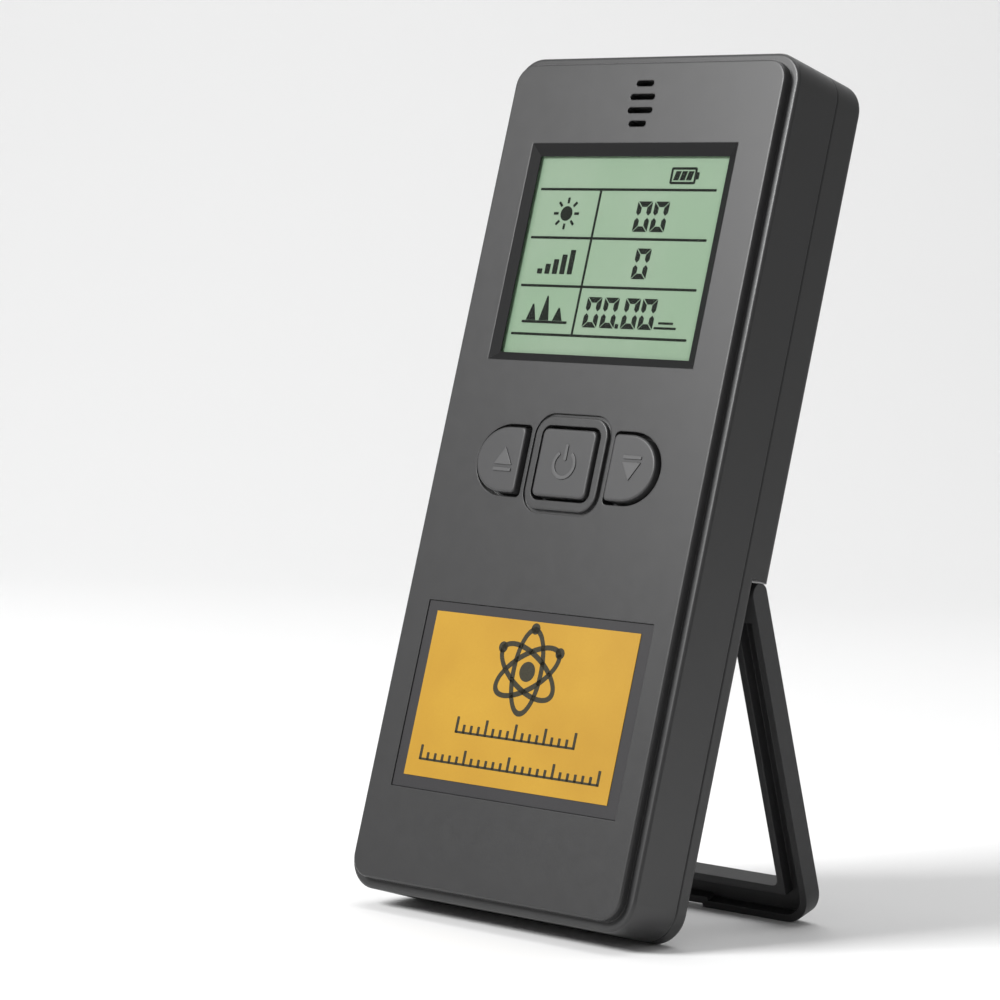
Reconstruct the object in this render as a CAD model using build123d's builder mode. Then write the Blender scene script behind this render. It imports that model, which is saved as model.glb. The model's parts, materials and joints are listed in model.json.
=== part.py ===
from build123d import *
import os
from math import asin, atan2, cos, hypot, radians, sin

# Handheld radiation meter that leans on a fold-out bail, all sizes in millimetres.
# The case has its own directions: across (X), along its length (up the case) and
# depth behind the front panel. "along" is measured from the middle of the case and
# "depth" from the front panel, so most sketches lie on front_panel offset by a depth.

# --- case ---
case_length = 130.0
corner_radius = 4.8
ledge_inset = 1.5
ledge_drop = 1.5
ledge_round = 0.5
panel_round = 0.3
panel_wall = 2.0
side_wall = 2.0
back_wall = 1.5
parting_depth = 11.2
seam_chamfer = 0.2
back_round = 1.0
step_round = 0.4
lip_root = 0.4
lip_height = 1.0
lip_thickness = 0.9
shell_gap = 0.1

# --- battery bay: two small round cells side by side across the case ---
cell_diameter = 10.2
cell_length = 44.5
cell_nub_radius = 1.9
cell_nub_height = 1.0
cell_edge_round = 0.4
cell_gap = 0.25
bay_wall = 1.0
bay_side_gap = 0.45
bay_from_end = 27.0
door_thickness = 1.45
door_edge = 0.15
door_seat = 0.6
door_gap = 0.2
door_seat_gap = 0.05
door_cell_gap = 0.3
spring_length = 3.05
spring_base_radius = 3.3
spring_tip_radius = 2.1
spring_wall = 1.0
contact_thickness = 0.4
contact_margin = 1.0

# --- bail stand ---
stand_thickness = 3.2
stand_gap = 0.2
stand_length = 52.4
stand_open_angle = 33.2
leg_width = 5.05
foot_width = 5.75
stand_inner_round = 1.2
stand_top_flat = 0.04
groove_rim = 1.2
groove_depth = 1.9
groove_top = 4.0
stud_radius = 1.1
stud_length = 2.4
stud_gap = 0.06
foot_notch_width = 14.0
foot_notch_depth = 0.6

# --- display ---
display_width = 40.2
display_height = 34.2
display_from_top = 31.2
bevel_inset = 1.6
bevel_depth = 0.7
window_drop = 0.28
window_thickness = 0.5
window_corner = 0.4
window_lap = 1.8
glass_thickness = 1.8
fit_gap = 0.2
backlight_thickness = 2.0
strip_width = 2.2
frame_wall = 1.2

# --- sound slots ---
slot_from_top = 8.0
slot_pitch = 2.1
slot_height = 0.95
slot_lengths = (3.4, 4.8, 4.8, 3.4)
mesh_width = 9.0
mesh_lap = 0.2
mesh_thickness = 0.25

# --- keys ---
keys_below_display = 15.35
key_rise = 0.75
key_round = 0.3
key_gap = 0.55
power_key_width = 10.4
power_key_height = 10.3
power_key_corner = 1.0
surround_width = 14.0
surround_height = 14.2
surround_corner = 3.0
surround_rise = 0.35
surround_round = 0.2
surround_groove_width = 0.5
surround_groove_depth = 0.35
side_key_inner = 8.7
side_key_width = 8.7
side_key_height = 10.0
side_key_bulge = 5.6
side_key_corner = 0.8
flange_reach = 0.95
flange_thickness = 0.8
flange_gap = 0.1
key_travel = 0.6
plunger_radius = 1.6
plunger_length = 1.9
plunger_gap = 0.05
plunger_end_gap = 0.2
switch_size = 6.0
switch_height = 2.2
switch_corner = 0.5

# --- label ---
label_side_border = 5.7
label_height = 28.5
label_from_bottom = 29.9
label_across = 0.4
label_recess = 0.35
film_thickness = 0.2
print_side_border = 2.05
print_end_border = 1.75
print_raise = 0.2
print_thickness = 0.1

# --- circuit board and what stands on it ---
board_depth = 6.0
board_thickness = 1.2
board_side_gap = 1.5
board_end_gap = 1.6
board_corner_notch = 9.0
component_side_gap = 2.5
buzzer_clearance = 0.5
buzzer_hole_radius = 0.9
buzzer_hole_depth = 0.8
tube_length = 50.0
tube_wall_gap = 0.7
tube_off_centre = 9.0
tube_end_round = 0.9
snug_gap = 0.05
cap_length = 3.0
cap_wall = 0.3
cap_pin_radius = 0.7
clip_width = 4.0
clip_wall = 0.4
clip_foot_width = 4.2
clip_mouth = 0.4
coil_size = (9.0, 10.0, 5.0)
coil_corner = 0.8
coil_round = 0.5
capacitor_radius = 2.6
capacitor_length = 9.0
capacitor_round = 0.4
chip_size = 7.0
chip_height = 1.4
chip_chamfer = 0.2
sensor_size = 3.0
uv_window_radius = 2.0
uv_window_depth = 6.8

# --- screws ---
screw_inset = 6.0
lower_screw_inset = 3.9
lower_screw_from_end = 8.6
boss_radius = 2.9
boss_joint_depth = 9.0
screw_seat_depth = 10.6
screw_radius = 1.1
screw_length = 6.0
screw_hole_gap = 0.05
screw_end_gap = 0.5
head_radius = 1.9
head_height = 1.1
head_round = 0.3
head_clearance = 0.3
drive_length = 2.1
drive_width = 0.55
drive_depth = 0.65
board_boss_radius = 1.9
frame_boss_gap = 0.4
key_boss_gap = 2.0
board_screw_radius = 0.8
board_screw_length = 4.0
board_screw_end_gap = 0.4
board_head_radius = 1.5
board_head_height = 0.7

# --- sizes that follow ---
bay_length = cell_length + spring_length + 2 * contact_thickness + cell_gap
bay_height = 2 * cell_diameter + 3 * cell_gap
bay_depth = panel_wall + cell_gap + cell_diameter + cell_gap / 2
case_width = bay_length + 2 * (bay_wall + bay_side_gap + side_wall)
lower_depth = bay_depth + door_thickness
case_depth = lower_depth + stand_gap + stand_thickness
case_top = case_length / 2
case_bottom = -case_length / 2
inner_width = case_width - 2 * side_wall
pivot_along = case_bottom + stand_length
pivot_depth = case_depth - stand_thickness / 2
step_along = pivot_along + stand_thickness / 2 + stand_gap
block_along = pivot_along - stand_thickness / 2 - stand_gap
block_width = case_width - 2 * leg_width - 2 * stand_gap
display_along = case_top - display_from_top
keys_along = display_along - display_height / 2 - keys_below_display
slots_along = case_top - slot_from_top
label_along = case_bottom + label_from_bottom
label_width = case_width - 2 * label_side_border
print_width = label_width - 2 * print_side_border
print_height = label_height - 2 * print_end_border
bay_along = case_bottom + bay_from_end
cell_depth = panel_wall + cell_gap + cell_diameter / 2
door_width = cell_length + 2 * door_cell_gap
door_height = bay_height + 2 * door_seat
side_key_across = side_key_inner + side_key_width - side_key_bulge
board_back = board_depth + board_thickness
board_width = inner_width - 2 * board_side_gap
board_top = case_top - side_wall - board_end_gap
board_bottom = bay_along + bay_height / 2 + bay_wall + board_end_gap
board_length = board_top - board_bottom
board_along = (board_top + board_bottom) / 2
upper_screw_across = case_width / 2 - side_wall - boss_radius - board_side_gap / 2
upper_screw_along = case_top - screw_inset
lower_screw_across = block_width / 2 - lower_screw_inset
lower_screw_along = case_bottom + lower_screw_from_end
glass_depth = bevel_depth + window_thickness
glass_width = display_width - 2 * bevel_inset + 2 * window_lap
glass_height = display_height - 2 * bevel_inset + 2 * window_lap
frame_width = glass_width + 2 * fit_gap + 2 * frame_wall
frame_height = glass_height + 2 * fit_gap + 2 * frame_wall
frame_top = display_along + frame_height / 2
buzzer_along = (frame_top + case_top - side_wall) / 2
buzzer_radius = (case_top - side_wall - frame_top) / 2 - buzzer_clearance
tube_space = case_depth - back_wall - board_back
tube_radius = tube_space / 2 - tube_wall_gap
tube_depth = board_back + tube_space / 2
tube_along = step_along + back_wall + tube_wall_gap + cap_length + tube_length / 2

# The case stands on its rounded lower back edge and on the front edge of the foot,
# so the angle it leans back at follows from where those two lie.
foot_along = pivot_along - stand_length * cos(radians(stand_open_angle))
foot_along -= stand_thickness / 2 * sin(radians(stand_open_angle))
foot_depth = pivot_depth + stand_length * sin(radians(stand_open_angle))
foot_depth -= stand_thickness / 2 * cos(radians(stand_open_angle))
heel_along = case_bottom + back_round
heel_depth = lower_depth - back_round
foot_reach = hypot(foot_along - heel_along, foot_depth - heel_depth)
lean = atan2(foot_along - heel_along, foot_depth - heel_depth) + asin(back_round / foot_reach)

# Origin: on the floor, in the middle of the standing object's length and width.
front_most = (case_bottom + ledge_inset + panel_round) * sin(lean) + panel_round * cos(lean)
front_most -= panel_round
back_most = (case_top - back_round) * sin(lean) + (case_depth - back_round) * cos(lean)
back_most += back_round
case_y = -(front_most + back_most) / 2
case_z = heel_depth * sin(lean) - heel_along * cos(lean) + back_round
front_normal = (0, -cos(lean), sin(lean))
front_panel = Plane(origin=(0, case_y, case_z), x_dir=(1, 0, 0), z_dir=front_normal)
outward = Axis(front_panel.origin, front_panel.z_dir)
lengthwise = Axis(front_panel.origin, front_panel.y_dir)

pivot_point = front_panel.from_local_coords((0, pivot_along, -pivot_depth))
stand_tilt = radians(stand_open_angle) - lean
stand_middle = Plane(origin=pivot_point, x_dir=(1, 0, 0), z_dir=(0, -cos(stand_tilt), -sin(stand_tilt)))
leg_upward = Axis(stand_middle.origin, stand_middle.y_dir)

os.makedirs("parts", exist_ok=True)


def at_depth(depth):
    """The plane parallel to the front panel, this far behind it."""
    return front_panel.offset(-depth)


def save(piece, name):
    """Label one finished piece and write it to its own file."""
    piece.part.label = name
    export_step(piece.part, f"parts/{name}.step")


def above_step(edge):
    """Whether an edge of the back lies above the step that the stand folds into."""
    return front_panel.to_local_coords(edge.center()).Y > step_along + stand_gap


def corner_screws():
    """Places of the four case screws: the upper pair, then the lower pair."""
    upper = [(side * upper_screw_across, upper_screw_along) for side in (-1, 1)]
    lower = [(side * lower_screw_across, lower_screw_along) for side in (-1, 1)]
    return upper + lower


def board_screw_places():
    """Places of the four board screws, just outside the display frame and the keys."""
    across = board_width / 2 - board_boss_radius
    rows = (display_along - frame_height / 2 - frame_boss_gap - board_boss_radius,
            keys_along - power_key_height / 2 - key_boss_gap - board_boss_radius)
    return [(side * across, along) for along in rows for side in (-1, 1)]


def bay_rows():
    """How far along the case the two cells' middles lie."""
    return [bay_along + side * (cell_diameter + cell_gap) / 2 for side in (-1, 1)]


def key_outline(side, grow=0.0):
    """Outline of one key, grown all round: side -1 and 1 are the half-moon keys, 0 the middle one."""
    with BuildSketch() as outline:
        if side == 0:
            corner = power_key_corner + grow
            with Locations((0, keys_along)):
                RectangleRounded(power_key_width + 2 * grow, power_key_height + 2 * grow, corner)
        else:
            height = side_key_height + 2 * grow
            inner = side_key_inner - grow
            straight = side_key_across - inner
            reach = side_key_width + 2 * grow
            with Locations((side * side_key_across, keys_along)):
                Ellipse(side_key_bulge + grow, height / 2)
            with Locations((side * (inner + straight / 2), keys_along)):
                Rectangle(straight, height)
            with Locations((side * (inner + reach / 2), keys_along)):
                Rectangle(reach, height, mode=Mode.INTERSECT)
            flat_corners = outline.vertices().group_by(Axis.X)[0 if side > 0 else -1]
            fillet(flat_corners, radius=side_key_corner)
    return outline.sketch


# --- front shell: raised panel, ledge round it, openings and bosses inside ---
with BuildPart() as front_shell:
    with BuildSketch(at_depth(parting_depth)):
        RectangleRounded(case_width, case_length, corner_radius)
    extrude(amount=parting_depth - ledge_drop)
    fillet(front_shell.edges().group_by(outward)[-1], radius=ledge_round)
    chamfer(front_shell.edges().group_by(outward)[0], length=seam_chamfer)
    with BuildSketch(at_depth(panel_wall)):
        RectangleRounded(
            case_width - 2 * ledge_inset,
            case_length - 2 * ledge_inset,
            corner_radius - ledge_inset,
        )
    extrude(amount=panel_wall)
    fillet(front_shell.edges().group_by(outward)[-1], radius=panel_round)
    with BuildSketch(at_depth(0)):
        with Locations((0, keys_along)):
            RectangleRounded(surround_width, surround_height, surround_corner)
    extrude(amount=surround_rise)
    fillet(front_shell.edges().group_by(outward)[-1], radius=surround_round)
    with BuildSketch(at_depth(surround_groove_depth)):
        with Locations((0, keys_along)):
            RectangleRounded(
                surround_width + 2 * surround_groove_width,
                surround_height + 2 * surround_groove_width,
                surround_corner + surround_groove_width,
            )
            RectangleRounded(surround_width, surround_height, surround_corner, mode=Mode.SUBTRACT)
    extrude(amount=surround_groove_depth, mode=Mode.SUBTRACT)

    with BuildSketch(at_depth(parting_depth)):
        RectangleRounded(inner_width, case_length - 2 * side_wall, corner_radius - side_wall)
    extrude(amount=parting_depth - panel_wall, mode=Mode.SUBTRACT)

    with BuildSketch(at_depth(0)):
        with Locations((0, display_along)):
            Rectangle(display_width, display_height)
    with BuildSketch(at_depth(bevel_depth)):
        with Locations((0, display_along - window_drop)):
            Rectangle(display_width - 2 * bevel_inset, display_height - 2 * bevel_inset)
    loft(mode=Mode.SUBTRACT)
    with BuildSketch(at_depth(panel_wall)):
        with Locations((0, display_along)):
            Rectangle(glass_width + 2 * fit_gap, glass_height + 2 * fit_gap)
    extrude(amount=panel_wall - bevel_depth, mode=Mode.SUBTRACT)

    with BuildSketch(at_depth(panel_wall)):
        for row, length in enumerate(slot_lengths):
            along = slots_along + ((len(slot_lengths) - 1) / 2 - row) * slot_pitch
            with Locations((0, along)):
                SlotOverall(length, slot_height)
        for side in (-1, 0, 1):
            add(key_outline(side, key_gap))
    extrude(amount=panel_wall + surround_rise, mode=Mode.SUBTRACT)

    with BuildSketch(at_depth(label_recess)):
        with Locations((label_across, label_along)):
            Rectangle(label_width, label_height)
    extrude(amount=label_recess, mode=Mode.SUBTRACT)

    with BuildSketch(at_depth(boss_joint_depth)):
        with Locations(corner_screws()):
            Circle(boss_radius)
    extrude(amount=boss_joint_depth - panel_wall)
    with BuildSketch(at_depth(board_depth)):
        with Locations(board_screw_places()):
            Circle(board_boss_radius)
    extrude(amount=board_depth - panel_wall)
    with BuildSketch(at_depth(boss_joint_depth)):
        with Locations(corner_screws()):
            Circle(screw_radius + screw_hole_gap)
    extrude(amount=boss_joint_depth - screw_seat_depth + screw_length + screw_end_gap, mode=Mode.SUBTRACT)
    with BuildSketch(at_depth(board_depth)):
        with Locations(board_screw_places()):
            Circle(board_screw_radius + screw_hole_gap)
    extrude(amount=board_screw_length - board_thickness + board_screw_end_gap, mode=Mode.SUBTRACT)

    top_end = Plane(
        origin=front_panel.from_local_coords((0, case_top, -uv_window_depth)),
        x_dir=(1, 0, 0),
        z_dir=front_panel.y_dir,
    )
    with BuildSketch(top_end):
        Circle(uv_window_radius + snug_gap)
    extrude(amount=-side_wall, mode=Mode.SUBTRACT)
save(front_shell, "front_shell")

# --- rear shell: deep upper half, stepped lower half that the folded stand fills ---
with BuildPart() as rear_shell:
    with BuildSketch(at_depth(lower_depth)):
        RectangleRounded(case_width, case_length, corner_radius)
    extrude(amount=lower_depth - parting_depth)
    fillet(rear_shell.edges().group_by(outward)[0], radius=back_round)
    with BuildSketch(at_depth(case_depth)):
        RectangleRounded(case_width, case_length, corner_radius)
        with Locations((0, step_along)):
            Rectangle(case_width, case_length, align=(Align.CENTER, Align.MAX), mode=Mode.SUBTRACT)
        with Locations((0, step_along)):
            Rectangle(block_width, step_along - block_along, align=(Align.CENTER, Align.MAX))
    extrude(amount=case_depth - parting_depth)
    fillet(rear_shell.edges().group_by(outward)[0].filter_by(above_step), radius=back_round)
    block_edge = rear_shell.edges().group_by(outward)[0].sort_by(lengthwise)[0]
    fillet(block_edge, radius=step_round)
    chamfer(rear_shell.edges().group_by(outward)[-1], length=seam_chamfer)

    inner_step = step_along + back_wall
    with BuildSketch(at_depth(case_depth - back_wall)):
        RectangleRounded(inner_width, case_length - 2 * side_wall, corner_radius - side_wall)
        with Locations((0, inner_step)):
            Rectangle(case_width, case_length, align=(Align.CENTER, Align.MAX), mode=Mode.SUBTRACT)
    extrude(amount=case_depth - back_wall - parting_depth, mode=Mode.SUBTRACT)
    with BuildSketch(at_depth(lower_depth - back_wall)):
        RectangleRounded(inner_width, case_length - 2 * side_wall, corner_radius - side_wall)
    extrude(amount=lower_depth - back_wall - parting_depth, mode=Mode.SUBTRACT)

    with BuildSketch(at_depth(parting_depth + lip_root)):
        RectangleRounded(inner_width, case_length - 2 * side_wall, corner_radius - side_wall)
        offset(amount=-lip_thickness - shell_gap, mode=Mode.SUBTRACT)
    extrude(amount=lip_root)
    with BuildSketch(at_depth(parting_depth)):
        RectangleRounded(
            inner_width - 2 * shell_gap,
            case_length - 2 * side_wall - 2 * shell_gap,
            corner_radius - side_wall - shell_gap,
        )
        offset(amount=-lip_thickness, mode=Mode.SUBTRACT)
    extrude(amount=lip_height)
    with BuildSketch(at_depth(lower_depth - back_wall)):
        with Locations((0, bay_along)):
            Rectangle(bay_length + 2 * bay_wall, bay_height + 2 * bay_wall)
            Rectangle(bay_length, bay_height, mode=Mode.SUBTRACT)
    extrude(amount=lower_depth - back_wall - panel_wall - fit_gap)
    with BuildSketch(at_depth(bay_depth)):
        with Locations((0, bay_along)):
            Rectangle(bay_length, bay_height)
    extrude(amount=bay_depth - parting_depth, mode=Mode.SUBTRACT)
    with BuildSketch(at_depth(lower_depth)):
        with Locations((0, bay_along)):
            Rectangle(door_width, door_height)
    extrude(amount=door_thickness, mode=Mode.SUBTRACT)
    with BuildSketch(at_depth(lower_depth)):
        with Locations((0, bay_along)):
            Rectangle(door_width, bay_height)
    extrude(amount=lower_depth - parting_depth, mode=Mode.SUBTRACT)

    with BuildSketch(at_depth(lower_depth - back_wall)):
        with Locations(corner_screws()):
            Circle(boss_radius)
    extrude(amount=lower_depth - back_wall - boss_joint_depth)
    with BuildSketch(at_depth(case_depth - back_wall)):
        with Locations(corner_screws()[:2]):
            Circle(boss_radius)
    extrude(amount=case_depth - back_wall - screw_seat_depth)
    with BuildSketch(at_depth(case_depth)):
        with Locations(corner_screws()):
            Circle(head_radius + head_clearance)
    extrude(amount=case_depth - screw_seat_depth, mode=Mode.SUBTRACT)
    with BuildSketch(at_depth(screw_seat_depth)):
        with Locations(corner_screws()):
            Circle(screw_radius + head_clearance)
    extrude(amount=screw_seat_depth - boss_joint_depth, mode=Mode.SUBTRACT)

    for side in (-1, 1):
        stud_hole = Plane(
            origin=front_panel.from_local_coords((side * block_width / 2, pivot_along, -pivot_depth)),
            x_dir=(0, 0, 1),
            z_dir=(-side, 0, 0),
        )
        with BuildSketch(stud_hole):
            Circle(stud_radius + stud_gap)
        extrude(amount=stud_length + stand_gap, mode=Mode.SUBTRACT)
save(rear_shell, "rear_shell")

# --- display: window, glass, backlight and the frame that holds them on the board ---
with BuildPart() as display_window:
    with BuildSketch(at_depth(glass_depth)):
        with Locations((0, display_along)):
            Rectangle(glass_width, glass_height)
    extrude(amount=window_thickness)
    chamfer(display_window.edges().filter_by(outward), length=window_corner)
save(display_window, "display_window")

glass_back = glass_depth + glass_thickness
with BuildPart() as display_glass:
    with BuildSketch(at_depth(glass_back)):
        with Locations((0, display_along)):
            Rectangle(glass_width, glass_height)
    extrude(amount=glass_thickness)
save(display_glass, "display_glass")

with BuildPart() as backlight_panel:
    with BuildSketch(at_depth(glass_back + backlight_thickness)):
        with Locations((0, display_along)):
            Rectangle(glass_width, glass_height - 2 * strip_width - 2 * fit_gap)
    extrude(amount=backlight_thickness)
save(backlight_panel, "backlight_panel")

with BuildPart() as connector_strips:
    with BuildSketch(at_depth(board_depth)):
        with Locations((0, display_along)):
            with GridLocations(0, glass_height - strip_width, 1, 2):
                Rectangle(glass_width - 2 * strip_width, strip_width)
    extrude(amount=board_depth - glass_back)
save(connector_strips, "connector_strips")

with BuildPart() as display_frame:
    with BuildSketch(at_depth(board_depth)):
        with Locations((0, display_along)):
            RectangleRounded(frame_width, frame_height, frame_wall)
            Rectangle(glass_width + 2 * fit_gap, glass_height + 2 * fit_gap, mode=Mode.SUBTRACT)
    extrude(amount=board_depth - panel_wall - fit_gap)
save(display_frame, "display_frame")

with BuildPart() as sound_mesh:
    with BuildSketch(at_depth(panel_wall + mesh_thickness)):
        with Locations((0, slots_along)):
            mesh_height = (len(slot_lengths) - 1) * slot_pitch + slot_height + 2 * mesh_lap
            Rectangle(mesh_width, mesh_height)
    extrude(amount=mesh_thickness)
save(sound_mesh, "sound_mesh")

# --- label: a dark film in its recess with a smaller printed panel on it ---
with BuildPart() as label_film:
    with BuildSketch(at_depth(label_recess)):
        with Locations((label_across, label_along)):
            Rectangle(label_width - fit_gap, label_height - fit_gap)
    extrude(amount=film_thickness)
save(label_film, "label_film")

with BuildPart() as label_panel:
    with BuildSketch(at_depth(label_recess - film_thickness)):
        with Locations((label_across, label_along + print_raise)):
            Rectangle(print_width, print_height)
    extrude(amount=print_thickness)
save(label_panel, "label_panel")

# --- keys: a cap with a flange that stops it behind the panel, and the switch plunger it rests on ---
flange_top = panel_wall + flange_gap
flange_back = flange_top + flange_thickness
for side, name in ((-1, "up"), (0, "power"), (1, "down")):
    with BuildPart() as key:
        with BuildSketch(at_depth(flange_back)):
            add(key_outline(side))
        extrude(amount=flange_back + key_rise)
        fillet(key.edges().group_by(outward)[-1], radius=key_round)
        with BuildSketch(at_depth(flange_back)):
            add(key_outline(side, flange_reach))
        extrude(amount=flange_thickness)
    save(key, f"{name}_key")

    across = side * (side_key_inner + side_key_width / 2)
    with BuildPart() as plunger:
        with BuildSketch(at_depth(flange_back + plunger_length)):
            with Locations((across, keys_along)):
                Circle(plunger_radius)
        extrude(amount=plunger_length)
    save(plunger, f"{name}_plunger")

switch_places = [(side * (side_key_inner + side_key_width / 2), keys_along) for side in (-1, 0, 1)]
bore_back = flange_back + plunger_length + key_travel + plunger_end_gap
with BuildPart() as tact_switches:
    with BuildSketch(at_depth(board_depth)):
        with Locations(switch_places):
            Rectangle(switch_size, switch_size)
    extrude(amount=switch_height)
    chamfer(tact_switches.edges().filter_by(outward), length=switch_corner)
    with BuildSketch(at_depth(bore_back)):
        with Locations(switch_places):
            Circle(plunger_radius + plunger_gap)
    extrude(amount=bore_back, mode=Mode.SUBTRACT)
save(tact_switches, "tact_switches")

# --- circuit board with its upper corners cut away round the case bosses ---
with BuildPart() as circuit_board:
    with BuildSketch(at_depth(board_back)):
        with Locations((0, board_along)):
            Rectangle(board_width, board_length)
        with Locations((-board_width / 2, board_top), (board_width / 2, board_top)):
            Rectangle(2 * board_corner_notch, 2 * board_corner_notch, mode=Mode.SUBTRACT)
    extrude(amount=board_thickness)
    with BuildSketch(at_depth(board_back)):
        with Locations(board_screw_places()):
            Circle(board_screw_radius + screw_hole_gap)
    extrude(amount=board_thickness, mode=Mode.SUBTRACT)
save(circuit_board, "circuit_board")

buzzer_front = panel_wall + mesh_thickness + 2 * fit_gap
with BuildPart() as buzzer:
    with BuildSketch(at_depth(board_depth)):
        with Locations((0, buzzer_along)):
            Circle(buzzer_radius)
    extrude(amount=board_depth - buzzer_front)
    with BuildSketch(at_depth(buzzer_front + buzzer_hole_depth)):
        with Locations((0, buzzer_along)):
            Circle(buzzer_hole_radius)
    extrude(amount=buzzer_hole_depth, mode=Mode.SUBTRACT)
save(buzzer, "buzzer")

# --- detector tube behind the board, between two capped ends held in spring clips ---
tube_middle = front_panel.from_local_coords((-tube_off_centre, tube_along, -tube_depth))
tube_plane = Plane(origin=tube_middle, x_dir=(1, 0, 0), z_dir=front_panel.y_dir)
with BuildPart() as geiger_tube:
    with BuildSketch(tube_plane.offset(-tube_length / 2)):
        Circle(tube_radius)
    extrude(amount=tube_length)
    fillet(geiger_tube.edges().filter_by(GeomType.CIRCLE), radius=tube_end_round)
save(geiger_tube, "geiger_tube")

with BuildPart() as tube_caps:
    for end in (-1, 1):
        cap_plane = Plane(
            origin=tube_plane.from_local_coords((0, 0, end * (tube_length / 2 + cap_wall))),
            x_dir=(1, 0, 0),
            z_dir=tube_plane.z_dir * end,
        )
        with BuildSketch(cap_plane.offset(-cap_length)):
            Circle(tube_radius + cap_wall)
            Circle(tube_radius + snug_gap, mode=Mode.SUBTRACT)
        extrude(amount=cap_length)
        with BuildSketch(cap_plane.offset(-cap_wall / 2)):
            Circle(tube_radius + cap_wall)
        extrude(amount=cap_wall)
        with BuildSketch(cap_plane.offset(cap_wall / 2)):
            Circle(cap_pin_radius)
        extrude(amount=cap_length / 2)
save(tube_caps, "tube_caps")

with BuildPart() as tube_clips:
    for end in (-1, 1):
        clip_middle = end * (tube_length / 2 - cap_length - clip_width)
        with BuildSketch(tube_plane.offset(clip_middle - clip_width / 2)):
            Circle(tube_radius + snug_gap + clip_wall)
            with Locations((0, board_back - tube_depth)):
                Rectangle(clip_foot_width, tube_space / 2, align=(Align.CENTER, Align.MIN))
            with Locations((0, tube_radius - clip_mouth)):
                Rectangle(2 * tube_radius, tube_radius, align=(Align.CENTER, Align.MIN), mode=Mode.SUBTRACT)
            Circle(tube_radius + snug_gap, mode=Mode.SUBTRACT)
        extrude(amount=clip_width)
save(tube_clips, "tube_clips")

# --- parts soldered on the back of the board beside the tube ---
component_across = board_width / 2 - coil_size[0] / 2 - component_side_gap
with BuildPart() as voltage_coil:
    with BuildSketch(at_depth(board_back + coil_size[2])):
        with Locations((component_across, display_along - coil_size[1])):
            Rectangle(coil_size[0], coil_size[1])
    extrude(amount=coil_size[2])
    chamfer(voltage_coil.edges().filter_by(outward), length=coil_corner)
    fillet(voltage_coil.edges().group_by(outward)[0], radius=coil_round)
save(voltage_coil, "voltage_coil")

capacitor_middle = (component_across, display_along + capacitor_length, -board_back - capacitor_radius)
capacitor_plane = Plane(
    origin=front_panel.from_local_coords(capacitor_middle),
    x_dir=(1, 0, 0),
    z_dir=front_panel.y_dir,
)
with BuildPart() as storage_capacitor:
    with BuildSketch(capacitor_plane.offset(-capacitor_length / 2)):
        Circle(capacitor_radius)
    extrude(amount=capacitor_length)
    fillet(storage_capacitor.edges().filter_by(GeomType.CIRCLE), radius=capacitor_round)
save(storage_capacitor, "storage_capacitor")

chips_along = (board_bottom + step_along) / 2
with BuildPart() as board_chips:
    with BuildSketch(at_depth(board_back + chip_height)):
        with Locations((0, chips_along)):
            with GridLocations(2 * chip_size, 0, 2, 1):
                Rectangle(chip_size, chip_size)
    extrude(amount=chip_height)
    chamfer(board_chips.edges().group_by(outward)[0], length=chip_chamfer)
save(board_chips, "board_chips")

# --- light sensor behind a small clear plug in the top end ---
with BuildPart() as sensor_window:
    with BuildSketch(top_end):
        Circle(uv_window_radius)
    extrude(amount=-side_wall)
save(sensor_window, "sensor_window")

with BuildPart() as light_sensor:
    with BuildSketch(at_depth(board_back + sensor_size / 2)):
        with Locations((0, board_top - sensor_size / 2)):
            Rectangle(sensor_size, sensor_size)
    extrude(amount=sensor_size / 2)
    chamfer(light_sensor.edges().group_by(outward)[0], length=chip_chamfer)
save(light_sensor, "light_sensor")

# --- battery bay: cells, end contacts, springs and the door over them ---
with BuildPart() as battery_cells:
    for along, facing in zip(bay_rows(), (1, -1)):
        nub_end = facing * (bay_length / 2 - contact_thickness - cell_gap / 2)
        cell_plane = Plane(
            origin=front_panel.from_local_coords((nub_end, along, -cell_depth)),
            x_dir=(0, 0, 1),
            z_dir=(facing, 0, 0),
        )
        with BuildSketch(cell_plane.offset(-cell_length)):
            Circle(cell_diameter / 2)
        extrude(amount=cell_length - cell_nub_height)
        with BuildSketch(cell_plane.offset(-cell_nub_height)):
            Circle(cell_nub_radius)
        extrude(amount=cell_nub_height)
    ends = battery_cells.edges().filter_by(GeomType.CIRCLE)
    fillet([edge for edge in ends if edge.radius > cell_nub_radius], radius=cell_edge_round)
save(battery_cells, "battery_cells")

with BuildPart() as cell_contacts:
    for side in (-1, 1):
        contact_face = Plane(
            origin=front_panel.from_local_coords((side * bay_length / 2, bay_along, -cell_depth)),
            x_dir=front_panel.y_dir,
            z_dir=(-side, 0, 0),
        )
        with BuildSketch(contact_face):
            with GridLocations(cell_diameter + cell_gap, 0, 2, 1):
                Rectangle(cell_diameter - 2 * contact_margin, cell_diameter - 2 * contact_margin)
        extrude(amount=contact_thickness)
save(cell_contacts, "cell_contacts")

with BuildPart() as cell_springs:
    for along, facing in zip(bay_rows(), (1, -1)):
        spring_base = Plane(
            origin=front_panel.from_local_coords(
                (-facing * (bay_length / 2 - contact_thickness), along, -cell_depth)
            ),
            x_dir=front_panel.y_dir,
            z_dir=(facing, 0, 0),
        )
        spring_reach = bay_length - 2 * contact_thickness - cell_length - cell_gap
        with BuildSketch(spring_base):
            Circle(spring_base_radius)
            Circle(spring_base_radius - spring_wall, mode=Mode.SUBTRACT)
        with BuildSketch(spring_base.offset(spring_reach)):
            Circle(spring_tip_radius)
            Circle(spring_tip_radius - spring_wall, mode=Mode.SUBTRACT)
        loft()
save(cell_springs, "cell_springs")

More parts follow.
